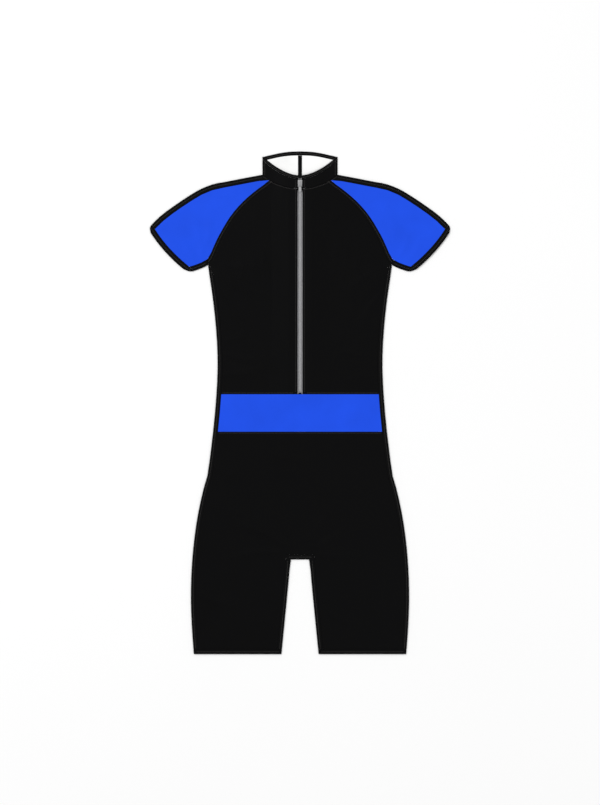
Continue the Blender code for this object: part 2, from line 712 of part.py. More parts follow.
def zip_pull_tab():
    """A flat tab whose eye passes under the slider's bridge. Its origin is on the hinge."""
    z = (HINGE_Z - TAB_THICK / 2, HINGE_Z + TAB_THICK / 2)
    up = (HINGE_UP - TAB_LENGTH, HINGE_UP + TAB_THICK / 2)
    tab = block("zip_pull_tab", "zip_metal", (-TAB_HALF, TAB_HALF), up, z, GAP / 2)
    eye_up = (HINGE_UP - TAB_EYE_LENGTH, HINGE_UP - TAB_THICK / 2)
    eye = block("tab_eye_guide", "zip_metal", (-TAB_EYE_HALF, TAB_EYE_HALF), eye_up,
                (z[0] - MM, z[1] + MM))
    combine(tab, eye, "DIFFERENCE")
    hinge = np.array((0.0, HINGE_UP - LENGTH / 2, HINGE_Z))
    for vert in tab.data.vertices:
        vert.co = np.array(vert.co) - hinge
    tab.location = hinge


def build():
    for obj in list(bpy.data.objects):
        bpy.data.objects.remove(obj)
    for word, side in SIDES:
        upper_panel(f"front_upper_{word}", side, "front", front_low)
        upper_panel(f"back_upper_{word}", side, "back", back_low)
        sleeve_panel(f"sleeve_front_{word}", side, front_low)
        sleeve_panel(f"sleeve_back_{word}", side, back_low)
        raglan_tape(f"raglan_tape_front_{word}", side, front_low)
        raglan_tape(f"raglan_tape_back_{word}", side, back_low)
        arm_strips(word, side)
        side_strip(word, side)
        hem_band(word, side)
        collar(word, side)
    waistband("waistband_front", front_low)
    waistband("waistband_back", back_low)
    shorts("shorts_front", front_low)
    shorts("shorts_back", back_low)
    inseam_strip()
    block("centre_back_tape", "binding_knit", (-CB_TAPE_HALF, CB_TAPE_HALF),
          (BAND_TOP, LENGTH - COLLAR_BINDING - GAP), (CB_TAPE_LOW, CB_TAPE_TOP))
    zip_tapes()
    zip_slider()
    zip_pull_tab()


build()
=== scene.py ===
# %% [markdown]
# A short-sleeved unitard, laid flat
#
# The garment is cut from a smooth stretch knit, printed black and blue on its outside
# and left white on its inside. It lies on its back on a table, with the front panels on
# the back ones, and we look straight down at it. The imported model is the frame: every
# panel, strip and zip part already lies in its place. This lesson gives each of them a
# finer surface, cloth that looks like cloth, sewing, and a zip with real teeth.

# %% Load the frame
import math

import bmesh
import bpy
import numpy as np
from mathutils import Matrix, Vector
from mathutils.bvhtree import BVHTree


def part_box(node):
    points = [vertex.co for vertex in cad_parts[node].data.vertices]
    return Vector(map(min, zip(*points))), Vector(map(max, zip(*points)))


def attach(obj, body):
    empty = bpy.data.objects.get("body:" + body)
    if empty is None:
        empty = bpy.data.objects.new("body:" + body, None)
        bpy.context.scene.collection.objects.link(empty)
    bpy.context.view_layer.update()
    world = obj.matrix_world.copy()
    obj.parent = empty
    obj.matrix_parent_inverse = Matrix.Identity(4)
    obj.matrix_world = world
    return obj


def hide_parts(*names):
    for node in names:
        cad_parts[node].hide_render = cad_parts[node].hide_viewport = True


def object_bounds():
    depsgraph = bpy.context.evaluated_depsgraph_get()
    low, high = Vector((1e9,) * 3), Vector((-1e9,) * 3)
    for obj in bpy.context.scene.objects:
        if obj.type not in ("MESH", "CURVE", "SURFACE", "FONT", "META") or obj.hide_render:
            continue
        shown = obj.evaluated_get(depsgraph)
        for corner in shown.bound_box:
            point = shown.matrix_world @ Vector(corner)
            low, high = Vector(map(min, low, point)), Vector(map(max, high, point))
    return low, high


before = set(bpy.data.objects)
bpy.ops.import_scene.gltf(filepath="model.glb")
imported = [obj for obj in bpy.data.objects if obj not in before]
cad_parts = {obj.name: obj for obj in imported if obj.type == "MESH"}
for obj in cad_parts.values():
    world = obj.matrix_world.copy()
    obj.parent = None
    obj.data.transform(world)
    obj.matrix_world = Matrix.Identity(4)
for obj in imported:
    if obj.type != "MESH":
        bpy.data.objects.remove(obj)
CAD_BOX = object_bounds()
MM = 0.001
SIZE = np.array(CAD_BOX[1]) - np.array(CAD_BOX[0])
HEM_Y = CAD_BOX[0][1]
GARMENT = "garment"
TAB = "pull_tab"
SIDES = (("left", 1), ("right", -1))
print("frame:", len(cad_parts), "nodes,", np.round(SIZE, 4), "m")

# %% [markdown]
# Lines to work along
#
# Seams, creases and stitches all follow the garment's outlines, so those come first.
# A line is a short table of points in millimetres: the distance from the centre line,
# and the height above the hems. A smooth curve through the points could be a Blender
# curve object, but a few lines of Hermite interpolation give points at any spacing,
# which is what rows of stitches need.

# %% Outlines
STRIP = 9.5 * MM
SLEEVE_STRIP = 11 * MM
RAGLAN_TAPE = 8 * MM
BAND_LOW = 444.4 * MM
BAND_TOP = 519.6 * MM

OUTLINES = {
    "side": [(184, 778), (181.6, 760), (177.7, 735), (173, 700), (168.1, 652), (165.1, 600),
             (164.9, 568), (166.4, 532), (172.2, 460), (177.7, 412), (183.2, 370),
             (185.4, 356)],
    "leg": [(185.4, 356), (190.3, 340), (196.4, 316), (206.1, 268), (212.6, 220),
            (216.6, 172), (218.3, 112), (216.2, 52), (212.4, 0)],
    "inner_leg": [(37.1, 0), (31.9, 52), (27.2, 100), (22.6, 148), (19.5, 186)],
    "over_arm": [(75.1, 958.5), (92, 955.3), (110, 951.9), (130, 948), (150, 944.1),
                 (168, 941), (184, 936), (200, 929.1), (222, 916.1), (250, 897.4),
                 (278, 876.6), (290, 865.5), (304, 850.6)],
    "cuff": [(224, 762.8), (242, 777.1), (258, 792.1), (274, 809.2), (290, 829.4),
             (304, 850.6)],
    "underarm": [(184.2, 777.7), (192, 773.4), (204, 768.6), (216, 764.6), (224, 762.8)],
    "raglan": [(52.3, 943.1), (61, 936.3), (82.7, 920.5), (101.4, 904.8), (116.9, 889.3),
               (129.6, 874), (140, 858.5), (149.1, 842.8), (157.6, 827.3), (164.7, 811.7),
               (171.7, 795.7), (175.8, 787.3), (183.4, 778.2)],
    "neck": [(4.5, 930.5), (11, 931), (24, 933.3), (37, 937.1), (52.3, 943.1),
             (60.6, 947.9), (75.1, 958.6)],
    "collar_top": [(0.2, 956.5), (11.2, 957.8), (23.8, 961.6), (39.2, 969), (52, 977),
                   (66.6, 988.2), (75.1, 994)],
    "collar_back": [(0, 1005), (21.4, 1004.2), (39.2, 1001.8), (58.4, 997.6), (75.1, 994)],
}


class Line:
    """A curve in plan, in metres: x and the height above the hems."""

    def __init__(self, points):
        self.points = np.array(points, dtype=float)
        steps = np.linalg.norm(np.diff(self.points, axis=0), axis=1)
        self.run = np.concatenate(([0.0], np.cumsum(steps)))
        self.length = self.run[-1]

    def at(self, runs):
        return np.stack([np.interp(runs, self.run, self.points[:, k]) for k in (0, 1)], axis=-1)

    def moved(self, distance):
        """The curve moved to its right."""
        along = np.gradient(self.points, axis=0)
        along /= np.linalg.norm(along, axis=1)[:, None]
        return Line(self.points + distance * np.stack((along[:, 1], -along[:, 0]), axis=1))

    def part(self, start, end):
        """The stretch from start to its length less end, in metres along it."""
        return Line(self.at(np.linspace(start, self.length - end, len(self.points))))

    def mirrored(self, side):
        return Line(self.points * np.array((side, 1.0)))


def curve(*names, steps=12):
    """One line through the named outlines, smooth within each of them."""
    rows = []
    for name in names:
        points = np.array(OUTLINES[name], dtype=float) * MM
        chord = np.concatenate(([0], np.cumsum(np.linalg.norm(np.diff(points, axis=0), axis=1))))
        slope = np.gradient(points, chord, axis=0)
        for k in range(len(points) - 1):
            span = chord[k + 1] - chord[k]
            for t in np.arange(steps) / steps:
                rows.append((2 * t**3 - 3 * t**2 + 1) * points[k]
                            + (t**3 - 2 * t**2 + t) * span * slope[k]
                            + (3 * t**2 - 2 * t**3) * points[k + 1]
                            + (t**3 - t**2) * span * slope[k + 1])
        last = points[-1]
    rows.append(last)
    return Line(rows)


for name in ("side", "over_arm", "raglan", "cuff"):
    print(f"{name}: {curve(name).length:.3f} m")

# %% [markdown]
# How the cloth lies
#
# A thin knit that is laid flat by hand isn't quite flat: soft ridges run in from the
# armpits, across the waist and out from the crotch, and every seam is drawn up into
# small puckers by its thread. A cloth simulation would lose the straight, careful lie
# of this one, so each crease is listed, with its own length, width and height.
# One function gives the lift at any place, so neighbouring pieces still meet.

# %% Creases and puckers
# Start and end, half width and height, in millimetres.
CREASES = [
    (-170, 770, -84, 716, 7, 0.9), (-163, 782, -96, 776, 6, 0.6), (-168, 730, -112, 668, 8, 0.7),
    (168, 772, 92, 722, 8, 0.8), (161, 786, 104, 788, 6, 0.6), (166, 724, 118, 650, 7, 0.7),
    (-156, 604, -88, 586, 6, 0.8), (-158, 560, -70, 572, 7, 0.6), (-152, 628, -104, 640, 6, 0.5),
    (157, 590, 80, 604, 7, 0.8), (155, 556, 92, 546, 6, 0.6), (154, 640, 112, 622, 6, 0.5),
    (-24, 214, -132, 262, 8, 0.9), (-28, 202, -150, 190, 7, 0.7), (-14, 226, -72, 312, 8, 0.6),
    (26, 212, 120, 276, 8, 0.9), (30, 200, 158, 206, 7, 0.7), (12, 228, 64, 300, 8, 0.6),
    (-180, 380, -120, 352, 8, 0.6), (182, 372, 108, 360, 8, 0.6), (-60, 400, 52, 392, 9, 0.5),
    (-204, 120, -120, 96, 9, 0.6), (206, 134, 132, 110, 9, 0.6), (-50, 70, -110, 52, 8, 0.5),
    (54, 84, 118, 60, 8, 0.5),
    (-196, 790, -214, 868, 7, 0.9), (-212, 782, -252, 846, 6, 0.7), (-190, 812, -180, 900, 7, 0.6),
    (-246, 806, -270, 846, 6, 0.5), (-120, 930, -150, 914, 6, 0.5),
    (197, 792, 222, 862, 7, 0.9), (214, 784, 246, 838, 6, 0.7), (188, 818, 176, 892, 7, 0.6),
    (250, 810, 274, 838, 6, 0.5), (116, 932, 158, 908, 6, 0.5),
    (-96, 880, -50, 850, 8, 0.5), (92, 876, 44, 858, 8, 0.5),
]
# A crease bows by this share of its length, widens from its start to its end, and rises
# and fades over these shares of its length, a little past its ends.
CREASE_BOW = 0.06
CREASE_WIDTHS = (0.7, 1.3)
CREASE_RISE = (0.1, 0.3)
CREASE_FADE = (0.15, 0.6)
PUCKER_REACH = 7 * MM
PUCKER_HEIGHT = 0.22 * MM
PUCKER_PITCH = 9.5 * MM
PUCKER_LEAST = 0.45
ZIP_PUCKER_X = 8 * MM
MARK_STEP = 2 * MM
CHUNK = 20000


def ease(value):
    value = np.clip(value, 0.0, 1.0)
    return value * value * (3 - 2 * value)


def nearest(x, up, line):
    """Each place's distance to a line, and how far along the line its foot is."""
    spots = np.stack((x, up), axis=-1)
    marks = line.at(np.arange(0, line.length, MARK_STEP))
    away = np.zeros(len(spots))
    along = np.zeros(len(spots))
    for first in range(0, len(spots), CHUNK):
        chunk = spots[first:first + CHUNK]
        squares = ((chunk[:, None, :] - marks[None, :, :]) ** 2).sum(axis=2)
        index = squares.argmin(axis=1)
        away[first:first + CHUNK] = np.sqrt(squares[np.arange(len(chunk)), index])
        along[first:first + CHUNK] = index * MARK_STEP
    return away, along


PUCKERED = [curve("raglan").mirrored(side) for _, side in SIDES]
PUCKERED += [curve("side", "leg").moved(STRIP).mirrored(side) for _, side in SIDES]
PUCKERED += [curve("over_arm").moved(SLEEVE_STRIP).mirrored(side) for _, side in SIDES]
PUCKERED += [Line([(side * ZIP_PUCKER_X, BAND_TOP), (side * ZIP_PUCKER_X, 930 * MM)])
             for _, side in SIDES]
PUCKERED += [Line([(-150 * MM, up), (150 * MM, up)]) for up in (BAND_LOW, BAND_TOP)]


def crease(x, up, start, end, half_width, height):
    """One ridge's lift at each place."""
    run = end - start
    length = np.linalg.norm(run)
    away = np.stack((x, up), axis=-1) - start
    along = away @ run / length**2
    inside = np.clip(along, 0, 1)
    across = (away[:, 0] * run[1] - away[:, 1] * run[0]) / length
    across -= CREASE_BOW * length * np.sin(np.pi * inside)
    narrow, wide = CREASE_WIDTHS
    width = half_width * (narrow + (wide - narrow) * inside)
    ends = ease((along + CREASE_RISE[0]) / CREASE_RISE[1])
    ends *= ease((1 + CREASE_FADE[0] - along) / CREASE_FADE[1])
    return height * ends * np.exp(-((across / width) ** 2))


def pucker(x, up, line, index):
    """The lift of one seam's puckers. Slow waves make them uneven along the seam."""
    away, along = nearest(x, up, line)
    beat = np.sin(along * 2 * np.pi / PUCKER_PITCH + 2.1 * np.sin(along * 31 + index))
    strength = PUCKER_LEAST + (1 - PUCKER_LEAST) * np.sin(along * 47 + 3 * index) ** 2
    near = np.exp(-((away / PUCKER_REACH) ** 2))
    return PUCKER_HEIGHT * strength * (0.5 + 0.5 * beat) * near


def relief(x, up):
    """How far the front layer lifts at each place, above the plain laid shape."""
    lift = np.zeros(len(x))
    for row in CREASES:
        x0, up0, x1, up1, half_width, height = np.array(row) * MM
        lift += crease(x, up, np.array((x0, up0)), np.array((x1, up1)), half_width, height)
    for index, line in enumerate(PUCKERED):
        lift += pucker(x, up, line, index)
    return lift


print("creases:", len(CREASES), "puckered seams:", len(PUCKERED))

# %% [markdown]
# Shader maths in plain Python
#
# A procedural finish is mostly arithmetic: a wave times a mask, plus some noise. Nodes
# for that are slow to read, so a small class wraps a node's output, and its operators
# add the Math nodes. One method adds any other node.

# %% The shader helpers
class Value:
    """A node's output that can be added, multiplied and so on."""

    def __init__(self, finish, output):
        self.finish = finish
        self.output = output

    def math(self, operation, *others):
        node = self.finish.tree.nodes.new("ShaderNodeMath")
        node.operation = operation
        for socket, item in zip(node.inputs, (self, *others)):
            self.finish.plug(socket, item)
        return Value(self.finish, node.outputs[0])

    def __add__(self, other):
        return self.math("ADD", other)

    def __mul__(self, other):
        return self.math("MULTIPLY", other)

    def __sub__(self, other):
        return self.math("SUBTRACT", other)

    __radd__ = __add__
    __rmul__ = __mul__


class Finish:
    """A material with one Principled shader. Constants go straight onto its sockets."""

    def __init__(self, name, **constants):
        self.material = bpy.data.materials.new(name)
        self.material.use_nodes = True
        self.tree = self.material.node_tree
        self.shader = self.tree.nodes["Principled BSDF"]
        for word, value in constants.items():
            self.shader.inputs[word.replace("_", " ")].default_value = value
        place = self.node("ShaderNodeTexCoord", output="Object")
        self.place = place
        self.x, self.y = [
            self.node("ShaderNodeSeparateXYZ", output=axis, Vector=place) for axis in "XY"]

    def plug(self, socket, item):
        if isinstance(item, Value):
            self.tree.links.new(item.output, socket)
        else:
            socket.default_value = item

    def node(self, kind, output=0, **sockets):
        """Adds any node, with the values or links of its sockets."""
        node = self.tree.nodes.new(kind)
        for word, item in sockets.items():
            self.plug(node.inputs[word.replace("_", " ")], item)
        return Value(self, node.outputs[output])

    def noise(self, scale, detail=2.0):
        return self.node("ShaderNodeTexNoise", output="Fac", Vector=self.place,
                         Scale=scale, Detail=detail)

    def shade(self, factor, dark, light):
        """A colour between two, by a factor from 0 to 1."""
        node = self.tree.nodes.new("ShaderNodeMix")
        node.data_type = "RGBA"
        self.plug(node.inputs[0], factor)
        node.inputs[6].default_value = (*dark, 1)
        node.inputs[7].default_value = (*light, 1)
        return Value(self, node.outputs[2])

    def feed(self, word, value):
        self.plug(self.shader.inputs[word], value)

    def bump(self, height, strength, distance):
        self.feed("Normal", self.node("ShaderNodeBump", output="Normal", Height=height,
                                      Strength=strength, Distance=distance))


def scaled(colour, factor):
    return tuple(part * factor for part in colour)


# %% [markdown]
# The knit
#
# The cloth is a warp knit of fine nylon and elastane, about 30 loops to the centimetre,
# with a low sheen. Its loops are far too small to model, so they are a bump: each loop
# is half of a V, which a wave along the cloth gives once it is pushed up and down by a
# ping-pong across it. The print varies a little, as it soaks in unevenly, so the colour
# moves by a few hundredths. Sheen and gloss are the same all over and stay constant.

# %% Knit finishes
BLACK = (0.0016, 0.0016, 0.0018)
BLUE = (0.0132, 0.0775, 0.763)
INSIDE_WHITE = (0.93, 0.93, 0.925)
THREAD_GREY = (0.034, 0.031, 0.029)
WALE = 0.7 * MM
COURSE = 0.55 * MM
LOOP_DEPTH = 0.05 * MM
RIB = 0.8 * MM
RIB_DEPTH = 0.06 * MM


def knit(name, colour, roughness, sheen):
    """A stretch knit: V-shaped loops, a faint unevenness of print, and soft wear."""
    finish = Finish(name, Roughness=roughness, Sheen_Weight=sheen, Sheen_Roughness=0.45)
    finish.shader.inputs["Specular IOR Level"].default_value = 0.05
    cloud = finish.noise(16.0, 3.0)
    fleck = finish.noise(900.0, 1.0)
    tone = cloud * 0.75 + fleck * 0.25
    finish.feed("Base Color", finish.shade(tone, scaled(colour, 0.86), scaled(colour, 1.14)))
    finish.feed("Roughness", roughness - 0.06 + cloud * 0.12)
    across = (finish.x * (1 / WALE)).math("PINGPONG", 0.5)
    along = (finish.y * (1 / COURSE) + across) * (2 * math.pi)
    loops = along.math("SINE") * 0.5 + across * 0.9
    finish.bump(loops + fleck * 0.3, 0.35, LOOP_DEPTH)
    return finish.material


def strip_knit(name, colour, roughness):
    """The folded strip: the same yarn in a denser rib, a little duller."""
    finish = Finish(name, Roughness=roughness, Sheen_Weight=0.01, Sheen_Roughness=0.5)
    finish.shader.inputs["Specular IOR Level"].default_value = 0.06
    cloud = finish.noise(40.0, 3.0)
    finish.feed("Base Color", finish.shade(cloud, scaled(colour, 0.8), scaled(colour, 1.3)))
    finish.feed("Roughness", roughness - 0.05 + cloud * 0.1)
    ribs = ((finish.x + finish.y) * (2 * math.pi / RIB)).math("SINE")
    cross = ((finish.x - finish.y) * (2 * math.pi / RIB)).math("SINE")
    finish.bump(ribs * cross + finish.noise(700.0) * 0.4, 0.35, RIB_DEPTH)
    return finish.material


FINISHES = {
    "black_knit": knit("black_knit_print", BLACK, 0.52, 0.008),
    "blue_knit": knit("blue_knit_print", BLUE, 0.5, 0.01),
    "inside": knit("white_knit_inside", INSIDE_WHITE, 0.7, 0.02),
    "binding_knit": strip_knit("binding_strip", BLACK, 0.66),
}
print("knit finishes:", ", ".join(FINISHES))

# %% [markdown]
# Cloth from the frame's solids
#
# Each panel's solid already has the cut, the wall and the place of the real panel, but
# its faces are large. A copy of it is merged, its cut edges are rounded, and then it is
# sliced along x and y every few millimetres with bisect_plane, which leaves its shape
# alone. Only then is there enough mesh to lift into creases. The faces that look into
# the garment get the white inside. The back layer rests on the table and stays flat.

# %% Cloth pieces
PANEL_STEP = 4.0 * MM
COLLAR_STEP = 2.5 * MM
STRIP_STEP = 3.5 * MM
SHARP = math.radians(50)
SHADE_SHARP = math.radians(60)
MERGED = 0.001 * MM
ON_PLANE = 0.0001 * MM
EDGE_ROUND = 0.28 * MM
BACK_TOP = 1.25 * MM
LIFTED = 1.55 * MM


def copied(node):
    """A merged copy of a CAD node's mesh, ready for bmesh operators."""
    mesh_data = bmesh.new()
    mesh_data.from_mesh(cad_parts[node].data)
    bmesh.ops.remove_doubles(mesh_data, verts=mesh_data.verts, dist=MERGED)
    return mesh_data


def round_edges(mesh_data, width, segments=2):
    """Bevels the sharp edges."""
    edges = [e for e in mesh_data.edges
             if len(e.link_faces) == 2 and e.calc_face_angle() > SHARP]
    bmesh.ops.bevel(mesh_data, geom=edges, offset=width, segments=segments, profile=0.5,
                    affect="EDGES", clamp_overlap=True, material=-1)


def cut_across(mesh_data, place, normal):
    """Adds the edges where a plane through a place crosses the mesh."""
    bmesh.ops.bisect_plane(
        mesh_data, geom=mesh_data.verts[:] + mesh_data.edges[:] + mesh_data.faces[:],
        dist=ON_PLANE, plane_co=place, plane_no=normal)


def slice_up(mesh_data, step):
    """Cuts the mesh along evenly spaced planes across x and y."""
    spots = np.array([v.co for v in mesh_data.verts])
    for axis, normal in enumerate((Vector((1, 0, 0)), Vector((0, 1, 0)))):
        low, high = spots[:, axis].min(), spots[:, axis].max()
        count = max(int((high - low) / step), 1)
        for place in np.linspace(low, high, count + 1)[1:-1]:
            cut_across(mesh_data, normal * float(place), normal)


def lift(mesh_data):
    """Lifts the front layer by the relief. The folds between the layers follow in part."""
    verts = list(mesh_data.verts)
    spots = np.array([v.co for v in verts])
    share = ease((spots[:, 2] - BACK_TOP) / (LIFTED - BACK_TOP))
    lifts = relief(spots[:, 0], spots[:, 1] - HEM_Y) * share
    for vert, rise in zip(verts, lifts):
        vert.co.z += float(rise)


def paint_inside(mesh_data):
    """Material 1 for the faces that look into the garment, 0 for the others."""
    for face in mesh_data.faces:
        height = face.calc_center_median().z
        up_in_back = face.normal.z > 0.5 and height < BACK_TOP + 0.1 * MM
        down_in_front = face.normal.z < -0.5 and height > BACK_TOP
        face.material_index = int(up_in_back or down_in_front)


def piece(name, mesh_data, finishes, body=GARMENT):
    """A finished piece: smooth shading, finishes, and its body and slot."""
    mesh = bpy.data.meshes.new(name)
    mesh_data.to_mesh(mesh)
    mesh_data.free()
    for finish in finishes:
        mesh.materials.append(finish)
    mesh.shade_smooth()
    mesh.set_sharp_from_angle(angle=SHADE_SHARP)
    obj = bpy.data.objects.new(name, mesh)
    bpy.context.scene.collection.objects.link(obj)
    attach(obj, body)
    return obj


def cloth(node, slot, step, inside=True):
    """A finer piece of cloth in the place of one of the frame's solids."""
    mesh_data = copied(node)
    round_edges(mesh_data, EDGE_ROUND)
    if "back" not in node:
        slice_up(mesh_data, step)
    mesh_data.normal_update()
    if inside:
        paint_inside(mesh_data)
    area = sum(face.calc_area() for face in mesh_data.faces) / 2
    lift(mesh_data)
    finishes = [FINISHES[slot]] + ([FINISHES["inside"]] if inside else [])
    made = piece(f"cloth_{node}", mesh_data, finishes)
    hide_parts(node)
    return made, area


PANELS = [(f"{part}_{word}", slot) for word, _ in SIDES for part, slot in (
    ("front_upper", "black_knit"), ("back_upper", "black_knit"),
    ("sleeve_front", "blue_knit"), ("sleeve_back", "blue_knit"))]
PANELS += [("waistband_front", "blue_knit"), ("waistband_back", "blue_knit"),
           ("shorts_front", "black_knit"), ("shorts_back", "black_knit")]

clothes = {}
areas = {}
for node, slot in PANELS:
    clothes[node], areas[node] = cloth(node, slot, PANEL_STEP)
    print(f"{node}: {len(clothes[node].data.polygons)} faces, {areas[node] * 1e4:.0f} cm2")

# %% [markdown]
# Collar, strips and tapes
#
# The collar stands when it is worn. Laid flat, it folds at its two sides, so its white
# inside shows between the front edge and the back edge. The strips round the sleeves,
# sides, legs and hems are folded knit, dyed right through, so they have no white side.
# They are made just as the panels are, with a finer step, because they are narrow.

# %% Collar and strips
COLLARS = [f"collar_{word}" for word, _ in SIDES]
STRIPS = ["inseam_binding"]
TAPES = ["centre_back_tape"]
for word, _ in SIDES:
    STRIPS += [f"{part}_{word}" for part in (
        "over_arm_binding", "under_arm_binding", "side_binding", "cuff_band", "leg_hem_band")]
    TAPES += [f"{part}_{word}" for part in (
        "raglan_tape_front", "raglan_tape_back", "collar_binding")]

for node in COLLARS:
    clothes[node], areas[node] = cloth(node, "black_knit", COLLAR_STEP)
for node in STRIPS + TAPES:
    clothes[node], areas[node] = cloth(node, "binding_knit", STRIP_STEP, inside=False)
print("collar, strips and tapes:", len(COLLARS) + len(STRIPS) + len(TAPES))

# %% [markdown]
# The zip
#
# The zip is a nylon coil on a woven tape: each tooth is a short rod with a thick head,
# and the two rows interlock at half a pitch. One tooth is modelled and then copied up
# both sides of the chain. Its slider and tab are cast metal.

# %% Zip finishes
ZIP_TAPE_GREY = (0.62, 0.62, 0.65)
COIL_GREY = (0.55, 0.55, 0.56)
METAL_GREY = (0.40, 0.40, 0.405)


def woven_tape():
    finish = Finish("zip_tape_weave", Roughness=0.75, Sheen_Weight=0.05)
    cloud = finish.noise(60.0)
    finish.feed("Base Color", finish.shade(cloud, scaled(ZIP_TAPE_GREY, 0.8),
                                           scaled(ZIP_TAPE_GREY, 1.25)))
    twill = ((finish.x + finish.y) * (2 * math.pi / (0.6 * MM))).math("SINE")
    finish.bump(twill, 0.5, 0.08 * MM)
    return finish.material


def coil_plastic():
    finish = Finish("zip_coil_nylon", Roughness=0.38)
    cloud = finish.noise(300.0)
    finish.feed("Base Color", finish.shade(cloud, scaled(COIL_GREY, 0.85),
                                           scaled(COIL_GREY, 1.15)))
    finish.feed("Roughness", cloud * 0.15 + 0.3)
    finish.bump(cloud, 0.2, 0.03 * MM)
    return finish.material


def cast_metal():
    finish = Finish("zip_cast_metal", Roughness=0.45, Metallic=0.55)
    cloud = finish.noise(500.0, 3.0)
    brushed = finish.node("ShaderNodeTexNoise", Scale=1.0, Vector=finish.node(
        "ShaderNodeMapping", Vector=finish.place, Scale=(9000.0, 500.0, 500.0)))
    finish.feed("Base Color", finish.shade(cloud, scaled(METAL_GREY, 0.8),
                                           scaled(METAL_GREY, 1.15)))
    finish.feed("Roughness", brushed * 0.18 + 0.38)
    finish.bump(brushed, 0.15, 0.02 * MM)
    return finish.material


FINISHES["zip_tape"] = woven_tape()
FINISHES["zip_coil"] = coil_plastic()
FINISHES["zip_metal"] = cast_metal()

# %% Zip tapes and teeth
TOOTH_PITCH = 1.5 * MM
TOOTH_ROD = 0.36 * MM
TOOTH_HEAD = 0.52 * MM
TOOTH_OUT = 3.1 * MM
TOOTH_PAST = 0.75 * MM
TOOTH_HEAD_FROM = (0.80, 0.90)
TOOTH_SWOLLEN = (0.85, 0.95)
TOOTH_TALL = 1.35
ZIP_TAPE_STEP = 3.0 * MM

for word, _ in SIDES:
    node = f"zip_tape_{word}"
    clothes[node], areas[node] = cloth(node, "zip_tape", ZIP_TAPE_STEP, inside=False)


def scatter(name, single, places, finish):
    """One piece of many copies of a small mesh, each put in its place by a matrix."""
    mesh_data = bmesh.new()
    for place in places:
        first = len(mesh_data.verts)
        mesh_data.from_mesh(single)
        mesh_data.verts.ensure_lookup_table()
        bmesh.ops.transform(mesh_data, matrix=place, verts=mesh_data.verts[first:])
    return piece(name, mesh_data, [finish])


def tooth():
    """A rod along x with a swollen head at its inner end."""
    mesh_data = bmesh.new()
    length = TOOTH_OUT + TOOTH_PAST
    bmesh.ops.create_cone(mesh_data, cap_ends=True, segments=8, radius1=TOOTH_ROD,
                          radius2=TOOTH_ROD, depth=length,
                          matrix=Matrix.Rotation(math.pi / 2, 4, "Y"))
    for share in TOOTH_HEAD_FROM:
        cut_across(mesh_data, Vector(((0.5 - share) * length, 0, 0)), Vector((1, 0, 0)))
    for vert in mesh_data.verts:
        share = 0.5 - vert.co.x / length
        if TOOTH_SWOLLEN[0] < share < TOOTH_SWOLLEN[1]:
            vert.co.y *= TOOTH_HEAD / TOOTH_ROD
        vert.co.z *= TOOTH_TALL
        vert.co.x += (TOOTH_OUT - TOOTH_PAST) / 2
    bmesh.ops.recalc_face_normals(mesh_data, faces=mesh_data.faces)
    mesh = bpy.data.meshes.new("tooth")
    mesh_data.to_mesh(mesh)
    mesh_data.free()
    return mesh


chain_low, chain_high = [Vector(corner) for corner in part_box("zip_chain")]
middle_z = (chain_low.z + chain_high.z) / 2
count = int((chain_high.y - chain_low.y) / TOOTH_PITCH)
places = []
for index in range(count):
    for half in (0, 1):
        y = chain_low.y + (index + 0.25 + half / 2) * TOOTH_PITCH
        turn = Matrix.Rotation(math.pi * half, 4, "Z")
        places.append(Matrix.Translation((0, y, middle_z)) @ turn)
teeth = scatter("zip_teeth", tooth(), places, FINISHES["zip_coil"])
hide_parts("zip_chain")
print("teeth:", len(places))

# %% Slider, pull tab and stops
METAL_ROUND = 0.16 * MM
METAL_STEP = 0.6 * MM
# Shares of the slider's and the tab's width and length, from the low end of each.
SLIDER_WAIST = 0.74
SLIDER_SHOULDER = (0.12, 0.54)
TAB_TIP = 3.2 * MM
TAB_TIP_ROUND = 0.82
TAB_WAIST = 0.80
TAB_WAIST_AT = (0.52, 0.16)


def slider_width(share):
    """The slider is wide where the two rows part and narrow where they leave joined."""
    start, end = SLIDER_SHOULDER
    return SLIDER_WAIST + (1 - SLIDER_WAIST) * ease((share - start) / (end - start))


def tab_width(share):
    """The tab has a slim middle, and an end as round as a fingertip."""
    low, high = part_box("zip_pull_tab")
    past = np.clip(1 - share * (high[1] - low[1]) / TAB_TIP, 0, 1)
    middle, spread = TAB_WAIST_AT
    slim = 1 - (1 - TAB_WAIST) * np.exp(-(((share - middle) / spread) ** 2))
    return slim * np.sqrt(1 - TAB_TIP_ROUND * past**2)


def metal_copy(node, name, body=GARMENT, width=None):
    """A finer metal piece: the solid's form, narrowed along its length, with round edges.

    width gives the share of the solid's width that is left, from its low end, 0, to 1.
    """
    mesh_data = copied(node)
    round_edges(mesh_data, METAL_ROUND, 3)
    if width:
        slice_up(mesh_data, METAL_STEP)
        low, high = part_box(node)
        middle = (low[0] + high[0]) / 2
        for vert in mesh_data.verts:
            share = (vert.co.y - low[1]) / (high[1] - low[1])
            vert.co.x = middle + (vert.co.x - middle) * float(width(share))
    made = piece(name, mesh_data, [FINISHES["zip_metal"]], body)
    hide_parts(node)


metal_copy("zip_slider", "slider_cast", width=slider_width)
metal_copy("zip_pull_tab", "pull_tab_cast", TAB, tab_width)
metal_copy("zip_bottom_stop", "bottom_stop_cast")
for word, _ in SIDES:
    metal_copy(f"zip_top_stop_{word}", f"top_stop_cast_{word}")

# %% [markdown]
# Sewing
#
# One row of topstitching runs down the middle of every strip, in a grey thread that
# shows as a thin line. Each stitch is a small pillow of thread, a little sunk at its
# ends. It could be a bump, but then it would vanish in the mesh, so it is real. A ray
# straight down finds the cloth under each stitch, creases and puckers included.

